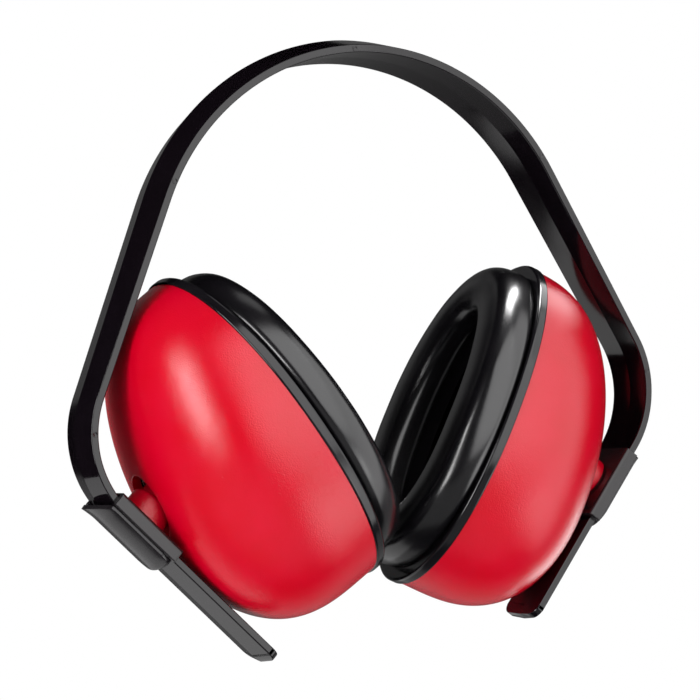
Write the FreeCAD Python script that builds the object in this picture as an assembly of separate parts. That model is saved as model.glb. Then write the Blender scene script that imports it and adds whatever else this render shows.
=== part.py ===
"""Earmuff hearing protector, in millimetres.

A one-piece sprung headband carries two sliders.  Each slider holds a ball
stud, and each ear cup turns on its ball through a nylon seat.  +Z is up, +Y
points away from the wearer's face, and the origin is on the band's outer face
at the top centre.
"""
import math
import os

import FreeCAD
import Part
from FreeCAD import Vector

# Headband: an arch, a straight flank, a bend and a straight leg on each side.
ARCH_RADIUS = 64.9
ARCH_HALF_ANGLE = 64.3
FLANK_LENGTH = 54.0
BEND_RADIUS = 28.15
BEND_ANGLE = 67.15
LEG_LENGTH = 56.9
BAND_THICKNESS = 2.0
BAND_WIDTH_TOP = 22.9
BAND_WIDTH_LEG = 16.8
BAND_CROWN_TOP = 2.9
BAND_CROWN_LEG = 1.15
LEG_CORNER = 3.2

# Slider: a channel round the leg, closed on its outer side by an arched cover.
SLIDER_STATION = {"left": 6.5, "right": 13.4}
SLIDER_LENGTH = 22.0
SLIDER_WIDTH = 20.5
SLIDER_FIT = 0.12
PLATE_FACE = -3.6
WALL_TOP = 0.3
SLEEVE_CHAMFER = 0.8
MOUTH_RELIEF = 0.9
MOUTH_LENGTH = 7.0
COVER_WIDTH = 18.4
COVER_SIDE = 0.9
COVER_RISE = 3.1
COVER_WALL = 1.2
COVER_CORNER = 4.5
LIP_LENGTH = 4.2
LIP_FLARE = 0.5

# Ball stud and its seat, about the ball's centre.
BALL_DEPTH = 19.85
BALL_RADIUS = 7.5
SHANK_RADIUS = 6.2
SHANK_END = 9.9
WAIST_RADIUS = 4.8
NECK_RADIUS = 4.0
NECK_FIT = 0.06
SNAP_RADIUS = 5.1
SNAP_THICKNESS = 0.5
SEAT_FIT = 0.05
SEAT_RADIUS = 9.5
SEAT_MOUTH = 6.4
SEAT_BACK = 5.0

# Ear cup: an oval dome that leans towards its lower end.
CUP_MAJOR = 47.0
CUP_MINOR = 38.5
CUP_DEPTH = 38.1
CUP_SQUARENESS = 2.17
CUP_WALL_POWER = 2.82
CUP_CROWN_POWER = 0.569
CUP_LEAN = 11.35
CUP_LEAN_POWER = 2.1
CUP_WALL = 2.4
SECTION_DEPTHS = (0.0, 0.16, 0.32, 0.48, 0.62, 0.74, 0.84, 0.915, 0.965, 0.992)

# Where the ball sits in the cup, and how the cup stands on it.
BALL_OFFSET = 4.44
BALL_BELOW_RIM = 25.0
CUP_PITCH = 11.0
CUP_YAW = {"left": 3.5, "right": 9.1}
WELL_LIP_RADIUS = 8.3
WELL_MOUTH_RADIUS = 8.8
WELL_LENGTH = 24.0
BOSS_RADIUS = 12.3
BOSS_END = 8.0
CAP_END = 10.8

# Seal stack, measured inwards from the cup's rim.
FLANGE_OVERHANG = 0.5
FLANGE_THICKNESS = 2.8
FLANGE_STEP = 4.0
STEP_INSET = 3.6
FLANGE_OPENING = (33.0, 22.5)
SPIGOT_DEPTH = 2.6
SPIGOT_WALL = 1.6
SPIGOT_FIT = 0.12
BACKING_TOP = 5.0
BACKING_OVAL = (43.4, 36.4)
CUSHION_OVAL = (44.0, 39.4)
CUSHION_OPENING = (30.0, 19.5)
CUSHION_TOP = 12.6
CUSHION_OUTER_ROUND = 4.6
CUSHION_INNER_ROUND = 3.4
CUSHION_BASE_ROUND = 2.2
SKIN_THICKNESS = 0.6
SKIN_TURN_OUTER = 3.6
SKIN_TURN_INNER = 1.8
LINER_GAP = 0.3
LINER_THICKNESS = 8.0
LINER_TOP = -3.2

ORIGIN = Vector(0, 0, 0)
X_AXIS = Vector(1, 0, 0)
Y_AXIS = Vector(0, 1, 0)
Z_AXIS = Vector(0, 0, 1)


def heading(angle):
    """The way along the right half of the band after it has turned down by angle."""
    turn = math.radians(angle)
    return Vector(math.cos(turn), 0, -math.sin(turn))


def outward(angle):
    """The band's outward normal after it has turned down by angle."""
    turn = math.radians(angle)
    return Vector(math.sin(turn), 0, math.cos(turn))


def band_arc(start, angle, radius, turn):
    """An arc of the band's outer edge line, with where and how it ends."""
    centre = start - outward(angle) * radius
    middle = centre + outward(angle + turn / 2) * radius
    end = centre + outward(angle + turn) * radius
    return Part.Arc(start, middle, end).toShape(), end, angle + turn


def band_section(point, angle, width, crown):
    """The band's five-sided section: flat inside, a low roof outside."""
    normal = outward(angle)
    side = Y_AXIS * (width / 2)
    inner = normal * BAND_THICKNESS
    corners = [point - side, point + normal * crown, point + side]
    corners += [point + side - inner, point - side - inner]
    return Part.makePolygon(corners + corners[:1])


def leg_start():
    """Where the right leg's straight stretch begins, and its angle."""
    unused_arch, point, angle = band_arc(ORIGIN, 0, ARCH_RADIUS, ARCH_HALF_ANGLE)
    point = point + heading(angle) * FLANK_LENGTH
    unused_bend, point, angle = band_arc(point, angle, BEND_RADIUS, BEND_ANGLE)
    return point, angle


def half_band():
    """The right half of the headband, swept along its outer edge line."""
    arch, point, angle = band_arc(ORIGIN, 0, ARCH_RADIUS, ARCH_HALF_ANGLE)
    flank_end = point + heading(angle) * FLANK_LENGTH
    flank = Part.makeLine(point, flank_end)
    upper_bend, middle, angle = band_arc(flank_end, angle, BEND_RADIUS, BEND_ANGLE / 2)
    top = band_section(ORIGIN, 0, BAND_WIDTH_TOP, BAND_CROWN_TOP)
    waist = band_section(middle, angle, BAND_WIDTH_LEG, BAND_CROWN_LEG)
    upper = Part.Wire([arch, flank, upper_bend]).makePipeShell([top, waist], True, False)
    lower_bend, start, angle = band_arc(middle, angle, BEND_RADIUS, BEND_ANGLE / 2)
    tip = start + heading(angle) * LEG_LENGTH
    leg = Part.makeLine(start, tip)
    lower = Part.Wire([lower_bend, leg]).makePipeShell([waist], True, False)
    return upper.fuse(lower).cut(tip_corners(tip, angle))


def tip_corners(tip, angle):
    """What is cut away to round the two corners of a leg's tip, seen in plan."""
    place = FreeCAD.Placement(frame(heading(angle), Y_AXIS, tip))
    tools = []
    for side in (-1, 1):
        edge = side * BAND_WIDTH_LEG / 2
        centre = Vector(-LEG_CORNER, edge - side * LEG_CORNER, -6)
        block = Part.makeBox(2 * LEG_CORNER, 2 * LEG_CORNER, 12)
        block.translate(Vector(centre.x, centre.y - (LEG_CORNER * (1 - side)), -6))
        tool = block.cut(Part.makeCylinder(LEG_CORNER, 12, centre))
        tool.Placement = place.multiply(tool.Placement)
        tools.append(tool)
    return tools


def frame(x_way, y_way, at):
    """The matrix that carries a local frame to the directions and point given."""
    x_way = Vector(x_way).normalize()
    z_way = x_way.cross(y_way).normalize()
    y_way = z_way.cross(x_way)
    return FreeCAD.Matrix(
        x_way.x, y_way.x, z_way.x, at.x,
        x_way.y, y_way.y, z_way.y, at.y,
        x_way.z, y_way.z, z_way.z, at.z,
        0, 0, 0, 1,
    )


def mirrored(vector):
    """The same vector on the left side of the object."""
    return Vector(-vector.x, vector.y, vector.z)


def slider_frame(side):
    """X runs down the leg, Z outwards, from the edge line at the slider's middle."""
    start, angle = leg_start()
    at = start + heading(angle) * SLIDER_STATION[side]
    down = heading(angle)
    across = Y_AXIS
    if side == "left":
        at = mirrored(at)
        down = mirrored(down)
        across = -Y_AXIS
    return FreeCAD.Placement(frame(down, across, at))


def cup_frame(side):
    """X runs up the cup's long axis, Z inwards to the head, from the rim's centre."""
    inwards = FreeCAD.Placement(Vector(0, 0, -BALL_DEPTH), FreeCAD.Rotation(Y_AXIS, 180))
    pitch = FreeCAD.Placement(ORIGIN, FreeCAD.Rotation(Y_AXIS, -CUP_PITCH))
    yaw = FreeCAD.Placement(ORIGIN, FreeCAD.Rotation(X_AXIS, -CUP_YAW[side]))
    rim = FreeCAD.Placement(Vector(-BALL_OFFSET, 0, BALL_BELOW_RIM), FreeCAD.Rotation())
    place = slider_frame(side)
    for step in (inwards, pitch, yaw, rim):
        place = place.multiply(step)
    return place


def oval(major, minor, height, shift=0.0):
    """A closed superellipse across the cup at a height, moved along its long axis."""
    points = []
    for step in range(32):
        turn = 2 * math.pi * step / 32
        power = 2 / CUP_SQUARENESS
        across = math.copysign(abs(math.cos(turn)) ** power, math.cos(turn))
        along = math.copysign(abs(math.sin(turn)) ** power, math.sin(turn))
        points.append(Vector(major * across + shift, minor * along, height))
    curve = Part.BSplineCurve()
    curve.interpolate(Points=points, PeriodicFlag=True)
    return Part.Wire(curve.toShape())


def oval_block(major, minor, low, high):
    """A straight-sided solid over the cup's oval."""
    face = Part.Face(oval(major, minor, low))
    return face.extrude(Vector(0, 0, high - low))


def oval_ring(outer, inner, low, high):
    """A straight-sided ring between two ovals."""
    margin = 1.0
    hole = oval_block(inner[0], inner[1], low - margin, high + margin)
    return oval_block(outer[0], outer[1], low, high).cut(hole)


def dome(inset, depth):
    """The cup's leaning dome, made smaller all round by inset."""
    sections = []
    for share in SECTION_DEPTHS:
        size = (1 - share ** CUP_WALL_POWER) ** CUP_CROWN_POWER
        shift = -CUP_LEAN * share ** CUP_LEAN_POWER
        major = (CUP_MAJOR - inset) * size
        minor = (CUP_MINOR - inset) * size
        sections.append(oval(major, minor, -depth * share, shift))
    apex = Part.Vertex(-CUP_LEAN, 0, -depth)
    return Part.makeLoft(sections + [apex], True, False)


def ball_axis_cone(low_radius, high_radius, low, high):
    """A cone or cylinder about the stud's nominal axis, in the cup's frame.

    Heights are measured inwards from the ball's centre.
    """
    centre = Vector(BALL_OFFSET, 0, -BALL_BELOW_RIM)
    lean = math.radians(CUP_PITCH)
    inwards = Vector(math.sin(lean), 0, math.cos(lean))
    start = centre + inwards * low
    if low_radius == high_radius:
        return Part.makeCylinder(low_radius, high - low, start, inwards)
    return Part.makeCone(low_radius, high_radius, high - low, start, inwards)


def socket_sphere():
    """The socket that the seat turns in."""
    centre = Vector(BALL_OFFSET, 0, -BALL_BELOW_RIM)
    return Part.makeSphere(SEAT_RADIUS + SEAT_FIT, centre)


def cup_shell():
    """The dome with its socket boss and the well that the stud enters by."""
    bore = SEAT_RADIUS + SEAT_FIT
    lip = -math.sqrt(bore ** 2 - WELL_LIP_RADIUS ** 2)
    outside = dome(0, CUP_DEPTH)
    shell = outside.cut(dome(CUP_WALL, CUP_DEPTH - CUP_WALL))
    boss = ball_axis_cone(BOSS_RADIUS, BOSS_RADIUS, -WELL_LENGTH, BOSS_END)
    shell = shell.fuse(boss.common(outside))
    shell = shell.cut(ball_axis_cone(WELL_MOUTH_RADIUS, WELL_LIP_RADIUS, -WELL_LENGTH, lip))
    shell = shell.cut(socket_sphere())
    return shell.cut(ball_axis_cone(bore, bore, 0, BOSS_END + 1))


def socket_cap():
    """The plug that snaps into the boss and holds the seat in."""
    plug = ball_axis_cone(SEAT_RADIUS, SEAT_RADIUS, 2.0, CAP_END)
    flange = ball_axis_cone(BOSS_RADIUS, BOSS_RADIUS, BOSS_END + 0.05, CAP_END)
    return plug.fuse(flange).cut(socket_sphere())


def seal_plate():
    """The flange plate: its spigot plugs the shell and its step carries the seal."""
    major = CUP_MAJOR - CUP_WALL - SPIGOT_FIT
    minor = CUP_MINOR - CUP_WALL - SPIGOT_FIT
    outer = (CUP_MAJOR + FLANGE_OVERHANG, CUP_MINOR + FLANGE_OVERHANG)
    plate = oval_ring(outer, FLANGE_OPENING, 0, FLANGE_THICKNESS)
    inner = (major - SPIGOT_WALL, minor - SPIGOT_WALL)
    spigot = oval_ring((major, minor), inner, -SPIGOT_DEPTH, 0.5)
    step_oval = (CUP_MAJOR - STEP_INSET, CUP_MINOR - STEP_INSET)
    step = oval_ring(step_oval, FLANGE_OPENING, FLANGE_THICKNESS - 0.5, FLANGE_STEP)
    return plate.fuse(spigot).fuse(step)


def cushion_block(inset):
    """The cushion's rounded ring, made smaller all round by inset."""
    outer = (CUSHION_OVAL[0] - inset, CUSHION_OVAL[1] - inset)
    inner = (CUSHION_OPENING[0] + inset, CUSHION_OPENING[1] + inset)
    low = BACKING_TOP + inset
    high = CUSHION_TOP - inset
    ring = oval_ring(outer, inner, low, high)
    limit = (outer[0] + inner[0]) / 2
    rounds = ((True, True, CUSHION_OUTER_ROUND), (True, False, CUSHION_INNER_ROUND),
              (False, True, CUSHION_BASE_ROUND))
    for at_top, at_outside, radius in rounds:
        height = high if at_top else low
        edges = [edge for edge in ring.Edges
                 if abs(edge.BoundBox.ZMax - height) < 0.01
                 and edge.BoundBox.ZLength < 0.01
                 and (edge.BoundBox.XMax > limit) == at_outside]
        ring = ring.makeFillet(radius - inset, edges)
    return ring


def cushion_core():
    """The foam, which meets the backing ring between the skin's turned-in edges."""
    outer = (CUSHION_OVAL[0] - SKIN_TURN_OUTER, CUSHION_OVAL[1] - SKIN_TURN_OUTER)
    inner = (CUSHION_OPENING[0] + SKIN_TURN_INNER, CUSHION_OPENING[1] + SKIN_TURN_INNER)
    foot = oval_ring(outer, inner, BACKING_TOP, BACKING_TOP + 2 * SKIN_THICKNESS)
    return cushion_block(SKIN_THICKNESS).fuse(foot)


def liner():
    """The acoustic foam bowl inside the dome, open round the socket boss."""
    inset = CUP_WALL + LINER_GAP
    outside = dome(inset, CUP_DEPTH - inset)
    hollow = dome(inset + LINER_THICKNESS, CUP_DEPTH - inset - LINER_THICKNESS)
    bowl = outside.cut(hollow)
    clear = BOSS_RADIUS + LINER_GAP
    bowl = bowl.cut(ball_axis_cone(clear, clear, -WELL_LENGTH, CAP_END + WELL_LENGTH))
    lid = Part.makeBox(120, 100, 20, Vector(-60, -50, LINER_TOP))
    return bowl.cut(lid)


def leg_hole(length):
    """The room that the leg needs inside the slider, with a relieved upper mouth."""
    half = BAND_WIDTH_LEG / 2 + SLIDER_FIT
    low = -BAND_THICKNESS - SLIDER_FIT
    room = Part.makeBox(length, 2 * half, 8, Vector(-length / 2, -half, low))
    top = -SLIDER_LENGTH / 2
    corners = [Vector(top - 1, -half, low), Vector(top - 1, -half, low - MOUTH_RELIEF),
               Vector(top, -half, low - MOUTH_RELIEF),
               Vector(top + MOUTH_LENGTH, -half, low)]
    wedge = Part.Face(Part.makePolygon(corners + corners[:1]))
    return room.fuse(wedge.extrude(Vector(0, 2 * half, 0)))


def slider_sleeve():
    """The slider's channel: an inner plate with the stud's hole, and two side walls."""
    low = PLATE_FACE
    size = (SLIDER_LENGTH, SLIDER_WIDTH, WALL_TOP - low)
    corner = Vector(-SLIDER_LENGTH / 2, -SLIDER_WIDTH / 2, low)
    body = Part.makeBox(size[0], size[1], size[2], corner)
    edges = [edge for edge in body.Edges if edge.BoundBox.ZMax < low + 0.01]
    body = body.makeChamfer(SLEEVE_CHAMFER, edges)
    body = body.cut(leg_hole(SLIDER_LENGTH + 4))
    bore = NECK_RADIUS + NECK_FIT
    body = body.cut(Part.makeCylinder(bore, 10, Vector(0, 0, low - 5)))
    pocket_floor = -BAND_THICKNESS - SLIDER_FIT - SNAP_THICKNESS - 0.15
    pocket = Part.makeCylinder(SNAP_RADIUS + 0.1, 5, Vector(0, 0, pocket_floor))
    return body.cut(pocket)


def cover_section(station, rise, wall):
    """The cover's arched outline across the leg, kept wall inside its outer face."""
    half = COVER_WIDTH / 2 - wall
    base = WALL_TOP
    spring = WALL_TOP + COVER_SIDE
    crown = WALL_TOP + COVER_RISE - wall
    corners = [Vector(station, -half, base + rise), Vector(station, -half, spring + rise)]
    top = Vector(station, 0, crown + rise)
    others = [Vector(station, half, spring + rise), Vector(station, half, base + rise)]
    edges = [Part.makeLine(corners[0], corners[1]),
             Part.Arc(corners[1], top, others[0]).toShape(),
             Part.makeLine(others[0], others[1]),
             Part.makeLine(others[1], corners[0])]
    return Part.Wire(edges)


def slider_cover():
    """The arched cover, round at its lower corners, with a thumb lip at its top."""
    low = -SLIDER_LENGTH / 2 + 2.5
    high = SLIDER_LENGTH / 2 + 0.6
    tip = low - LIP_LENGTH
    outside = Part.Face(cover_section(low, 0, 0)).extrude(Vector(high - low, 0, 0))
    lip = Part.makeLoft([cover_section(low, 0, 0), cover_section(tip, LIP_FLARE, 0)], True, True)
    inside = Part.Face(cover_section(low, 0, COVER_WALL))
    inside = inside.extrude(Vector(high - low + 1, 0, 0))
    inner_tip = [cover_section(low, 0, COVER_WALL), cover_section(tip, LIP_FLARE, COVER_WALL)]
    under_lip = Part.makeLoft(inner_tip, True, True)
    corner_tools = []
    for side in (-1, 1):
        x = high - COVER_CORNER
        y = side * (COVER_WIDTH / 2 - COVER_CORNER)
        start = Vector(x, min(y, y + side * 2 * COVER_CORNER), -1)
        block = Part.makeBox(2 * COVER_CORNER, 2 * COVER_CORNER, 8, start)
        corner_tools.append(block.cut(Part.makeCylinder(COVER_CORNER, 8, Vector(x, y, -1))))
    body = outside.fuse(lip).cut(inside).cut(under_lip)
    return body.cut(corner_tools)


def ball_stud():
    """The stud: a snap head and neck in the slider, a shank, a waist and a ball."""
    head_top = -BAND_THICKNESS - SLIDER_FIT - 0.1
    neck_top = head_top - SNAP_THICKNESS
    shank_top = PLATE_FACE - 0.1
    shank_low = -BALL_DEPTH + SHANK_END
    head = Part.makeCylinder(SNAP_RADIUS, SNAP_THICKNESS, Vector(0, 0, neck_top))
    neck_length = neck_top - shank_top
    neck = Part.makeCylinder(NECK_RADIUS, neck_length, Vector(0, 0, shank_top))
    shank = Part.makeCylinder(SHANK_RADIUS, shank_top - shank_low, Vector(0, 0, shank_low))
    shank = shank.makeFillet(0.7, [edge for edge in shank.Edges if edge.Length > 30])
    waist = Part.makeCylinder(WAIST_RADIUS, SHANK_END, Vector(0, 0, -BALL_DEPTH))
    ball = Part.makeSphere(BALL_RADIUS, Vector(0, 0, -BALL_DEPTH))
    return head.fuse([neck, shank, waist, ball])


def ball_seat():
    """The nylon ring between ball and socket, spherical inside and outside."""
    centre = Vector(0, 0, -BALL_DEPTH)
    ring = Part.makeSphere(SEAT_RADIUS, centre).cut(Part.makeSphere(BALL_RADIUS + SEAT_FIT, centre))
    mouth = Part.makeCylinder(SEAT_MOUTH, 2 * SEAT_RADIUS, centre)
    back = Part.makeCylinder(SEAT_BACK, 2 * SEAT_RADIUS, centre, -Z_AXIS)
    return ring.cut([mouth, back])


def backing_ring():
    """The stiff ring that the cushion is bonded to."""
    return oval_ring(BACKING_OVAL, FLANGE_OPENING, FLANGE_STEP, BACKING_TOP)


def write(name, shape, place):
    """Write one node's STEP file, with the shape carried to its place."""
    solids = []
    for solid in shape.Solids:
        moved = solid.copy()
        moved.Placement = place.multiply(moved.Placement)
        solids.append(moved)
    result = solids[0] if len(solids) == 1 else Part.makeCompound(solids)
    result.exportStep(os.path.join("parts", name + ".step"))
    print(name, len(solids), result.isValid(), round(result.Volume))


def main():
    os.makedirs("parts", exist_ok=True)
    half = half_band()
    band = half.fuse(half.mirror(ORIGIN, X_AXIS))
    write("headband", band, FreeCAD.Placement())
    core = cushion_core()
    leg_pieces = {
        "slider_sleeve": slider_sleeve(),
        "slider_cover": slider_cover(),
        "ball_stud": ball_stud(),
        "ball_seat": ball_seat(),
    }
    cup_pieces = {
        "cup_shell": cup_shell(),
        "socket_cap": socket_cap(),
        "foam_liner": liner(),
        "seal_plate": seal_plate(),
        "cushion_backing": backing_ring(),
        "cushion_skin": cushion_block(0).cut(core),
        "cushion_foam": core,
    }
    for side in ("left", "right"):
        for name, shape in leg_pieces.items():
            write(side + "_" + name, shape, slider_frame(side))
        for name, shape in cup_pieces.items():
            write(side + "_" + name, shape, cup_frame(side))


main()
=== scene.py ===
import math

import bmesh
import bpy
import numpy as np
from mathutils import Matrix, Vector, noise


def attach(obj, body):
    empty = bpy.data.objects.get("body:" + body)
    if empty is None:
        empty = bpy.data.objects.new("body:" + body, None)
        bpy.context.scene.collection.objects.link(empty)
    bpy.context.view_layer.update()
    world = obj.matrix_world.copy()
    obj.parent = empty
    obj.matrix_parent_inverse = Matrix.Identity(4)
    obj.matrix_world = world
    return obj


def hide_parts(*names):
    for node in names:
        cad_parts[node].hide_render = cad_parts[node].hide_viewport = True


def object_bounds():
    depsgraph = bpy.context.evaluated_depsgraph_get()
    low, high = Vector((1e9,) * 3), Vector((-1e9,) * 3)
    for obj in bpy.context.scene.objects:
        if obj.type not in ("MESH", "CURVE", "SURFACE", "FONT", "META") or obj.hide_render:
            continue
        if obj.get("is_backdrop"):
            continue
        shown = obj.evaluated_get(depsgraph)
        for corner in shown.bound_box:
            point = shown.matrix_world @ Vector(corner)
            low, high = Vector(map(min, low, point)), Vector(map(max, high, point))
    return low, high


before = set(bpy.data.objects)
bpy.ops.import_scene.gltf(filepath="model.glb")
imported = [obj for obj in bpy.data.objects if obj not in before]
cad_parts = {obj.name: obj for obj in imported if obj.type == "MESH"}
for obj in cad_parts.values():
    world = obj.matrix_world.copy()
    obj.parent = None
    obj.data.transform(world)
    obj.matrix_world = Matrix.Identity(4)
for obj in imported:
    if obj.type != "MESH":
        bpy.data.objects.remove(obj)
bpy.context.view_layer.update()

# Lengths are in millimetres until a mesh is made, where MM turns them into metres.
MM = 0.001

# Headband.
ARCH_RADIUS = 64.9
ARCH_HALF_ANGLE = 64.3
FLANK_LENGTH = 54.0
BEND_RADIUS = 28.15
BEND_ANGLE = 67.15
LEG_LENGTH = 56.9
BAND_THICKNESS = 2.0
BAND_WIDTH_TOP = 22.9
BAND_WIDTH_LEG = 16.8
BAND_CROWN_TOP = 2.9
BAND_CROWN_LEG = 1.15
BAND_HOLLOW = 0.22
LEG_CORNER = 3.2
LEG_CORNER_STEPS = 8
PIN_MARKS = (-136.7, -67.8, 0.0, 67.8, 136.7)
PIN_RADIUS = 0.78
PIN_AROUND = 32
# The mark's section as (share of its radius, height above the band's edge).
PIN_SECTION = ((0.05, -0.3), (0.97, -0.3), (1.0, 0.0), (0.97, 0.08), (0.85, 0.11),
               (0.68, 0.08), (0.60, 0.01), (0.05, 0.0))

# Slider.
SLIDER_STATION = {"left": 6.5, "right": 13.4}
SLIDER_LENGTH = 22.0
SLIDER_WIDTH = 20.5
SLIDER_FIT = 0.12
MOUTH_RELIEF = 0.9
MOUTH_LENGTH = 7.0
SLEEVE_TUCK = 0.012
SLEEVE_ENDS = (0.12, 0.5)
PLATE_FACE = -3.6
WALL_TOP = 0.3
COVER_WIDTH = 18.4
COVER_SIDE = 0.9
COVER_RISE = 3.1
COVER_WALL = 1.2
COVER_CORNER = 4.5
COVER_CORNER_SHARE = 0.98
COVER_START = 2.5
COVER_OVERHANG = 0.6
COVER_EASE = 1.2
COVER_DROP = 0.9
COVER_BEVEL = 0.16
COVER_PACE = 1.5
COVER_GRID = (57, 29)
LIP_LENGTH = 4.2
LIP_FLARE = 0.5
LIP_BOW = 0.7
LIP_RECESS = 2.6
LIP_CURVE = 1.4

# Ball stud and seat, about the ball's centre.
BALL_DEPTH = 19.85
BALL_RADIUS = 7.5
SHANK_RADIUS = 6.2
SHANK_END = 9.9
WAIST_RADIUS = 4.8
WAIST_EASE = 0.3
STUD_OVERLAP = 0.02
AXIS_HOLE = 0.05
# The shank's two ends as (outwards of its radius, above its top or foot).
SHOULDER = ((-1.4, 0.0), (-1.0, -0.02), (-0.95, -0.28), (-0.8, -0.35), (-0.5, -0.35),
            (-0.2, -0.42), (0.0, -0.65))
SHANK_FOOT = ((0.0, 1.0), (-0.12, 0.5), (-0.4, 0.15), (-0.8, 0.0))
SEAT_FIT = 0.05
SEAT_RADIUS = 9.5
SEAT_MOUTH = 6.4
SEAT_BACK = 5.0

# Ear cup.
CUP = (47.0, 38.5)
CUP_DEPTH = 38.1
CUP_SQUARENESS = 2.17
CUP_WALL_POWER = 2.82
CUP_CROWN_POWER = 0.569
CUP_LEAN = 11.35
CUP_LEAN_POWER = 2.1
CUP_WALL = 2.4
OUTER_RINGS = 90
INNER_RINGS = 40
RING_CROWDING = 2.3
BALL_OFFSET = 4.44
BALL_BELOW_RIM = 25.0
CUP_PITCH = 11.0
CUP_YAW = {"left": 3.5, "right": 9.1}
WELL_LIP_RADIUS = 8.3
WELL_MOUTH_RADIUS = 8.8
WELL_LENGTH = 24.0
WELL_EASE = 0.45
BOSS_RADIUS = 12.3
BOSS_END = 8.0

# Seal stack.
FLANGE = (47.5, 39.0)
FLANGE_THICKNESS = 2.8
FLANGE_STEP = 4.0
STEP_INSET = 4.1
RIM_DEPTH = 9
FLANGE_OPENING = (33.0, 22.5)
BACKING = (43.4, 36.4)
BACKING_TOP = 5.0
CUSHION = (44.0, 39.4)
CUSHION_OPENING = (30.0, 19.5)
CUSHION_TOP = 12.6
CUSHION_ROLL = 5.2
CUSHION_FULLNESS = 2.6
CUSHION_UNDERCUT = 2.3
CUSHION_INNER_ROLL = 3.6
CUSHION_CROWN = 0.35
CUSHION_SEEDS = {"left": 11.0, "right": 47.0}
# Unevenness as (waves per millimetre, height); it fades in over the lowest CUSHION_FADE.
CUSHION_SLOW = (0.045, 0.30)
CUSHION_FINE = (0.16, 0.03)
CUSHION_FADE = 3
CUSHION_BORE = (7.6, 6.4, 5.4)
BORE_EASE = 0.4
HEM_GAP = 0.25
HEM_CLEAR = 0.1
HEM_HEIGHT = 0.3
HEM_REACH = 0.45
LINER_GAP = 0.3
LINER_THICKNESS = 8.0
LINER_TOP = -3.2
LINER_REACH = 0.985
LINER_STEPS = 24

# Meshes: points round an oval and round a turned piece, halvings in meet_dome, where a
# rounding holds its flats, and the angles in degrees from which edges are sharp.
AROUND = 256
LATHE_AROUND = 96
MEET_STEPS = 50
FLAT_HOLD = 0.15
SHARP = 40
BAND_SHARP = 50
SOFT_SHARP = 60


# ---------------------------------------------------------------- meshes

def new_object(name, verts, faces, material, sharp=SHARP):
    """A smooth-shaded object from points in millimetres, with its sharp edges kept."""
    mesh = bpy.data.meshes.new(name)
    mesh.from_pydata([tuple(v * MM for v in p) for p in verts], [], faces)
    mesh.validate()
    mesh.shade_smooth()
    mesh.set_sharp_from_angle(angle=math.radians(sharp))
    obj = bpy.data.objects.new(name, mesh)
    bpy.context.scene.collection.objects.link(obj)
    obj.data.materials.append(material)
    return obj


def ring_faces(rings, around, closed):
    """The quads that join rings of points, all with the same number round."""
    faces = []
    for k in range(rings if closed else rings - 1):
        low = k * around
        high = ((k + 1) % rings) * around
        for i in range(around):
            j = (i + 1) % around
            faces.append((low + i, low + j, high + j, high + i))
    return faces


def strip_faces(rows, columns):
    """The quads of an open grid of points."""
    faces = []
    for r in range(rows - 1):
        for c in range(columns - 1):
            at = r * columns + c
            faces.append((at, at + columns, at + columns + 1, at + 1))
    return faces


def join_rings(name, rings, material, closed=True, sharp=SHARP):
    """One surface through rings of points; closed joins the last ring to the first."""
    around = len(rings[0])
    verts = [point for ring in rings for point in ring]
    faces = ring_faces(len(rings), around, closed)
    if not closed:
        faces.append(tuple(reversed(range(around))))
        last = (len(rings) - 1) * around
        faces.append(tuple(range(last, last + around)))
    return new_object(name, verts, faces, material, sharp)


def outward_normals(obj):
    """Turns the faces so that their normals point out of the solid."""
    mesh = bmesh.new()
    mesh.from_mesh(obj.data)
    bmesh.ops.recalc_face_normals(mesh, faces=mesh.faces)
    mesh.to_mesh(obj.data)
    mesh.free()
    obj.data.update()
    return obj


def unit(vector):
    """The vector at length 1."""
    return vector / np.linalg.norm(vector)


def rounded(corners, radii, steps=4):
    """A closed outline through 2-D corners, each rounded, with the flats kept flat.

    A point beside each rounding, at FLAT_HOLD or less, holds the flat's shading.
    """
    count = len(corners)
    corners = [np.array(corner, float) for corner in corners]
    cuts, halves = [], []
    for i, here in enumerate(corners):
        back_way = unit(corners[i - 1] - here)
        ahead_way = unit(corners[(i + 1) % count] - here)
        half = math.acos(max(-1.0, min(1.0, float(back_way @ ahead_way)))) / 2
        halves.append(half)
        cuts.append(radii[i] / math.tan(half) if radii[i] else 0.0)
    outline = []
    for i, here in enumerate(corners):
        if not radii[i]:
            outline.append(tuple(here))
            continue
        before, after = corners[i - 1], corners[(i + 1) % count]
        back_way, ahead_way = unit(before - here), unit(after - here)
        back_free = np.linalg.norm(before - here) - cuts[i] - cuts[i - 1]
        ahead_free = np.linalg.norm(after - here) - cuts[i] - cuts[(i + 1) % count]
        centre = here + unit(back_way + ahead_way) * radii[i] / math.sin(halves[i])
        first = here + back_way * cuts[i]
        last = here + ahead_way * cuts[i]
        turn = math.pi - 2 * halves[i]
        outline.append(tuple(first + back_way * min(FLAT_HOLD, 0.25 * back_free)))
        for k in range(steps + 1):
            share = k / steps
            point = math.sin((1 - share) * turn) * (first - centre)
            point = point + math.sin(share * turn) * (last - centre)
            outline.append(tuple(centre + point / math.sin(turn)))
        outline.append(tuple(last + ahead_way * min(FLAT_HOLD, 0.25 * ahead_free)))
    return outline


def bake_modifiers(obj):
    """Replaces the object's mesh by what its modifiers make of it."""
    graph = bpy.context.evaluated_depsgraph_get()
    made = bpy.data.meshes.new_from_object(obj.evaluated_get(graph))
    obj.modifiers.clear()
    obj.data = made
    made.shade_smooth()
    made.set_sharp_from_angle(angle=math.radians(SHARP))


def place(obj, matrix):
    """Moves a mesh's own points by a frame in millimetres, leaving the object at the origin."""
    scaled = matrix.copy()
    scaled.translation = matrix.translation * MM
    obj.data.transform(scaled)
    obj.data.update()


def finish_piece(obj, body, nodes):
    """Puts a piece on its body, in place of its CAD nodes."""
    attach(obj, body)
    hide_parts(*nodes)


# ---------------------------------------------------------------- frames

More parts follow.
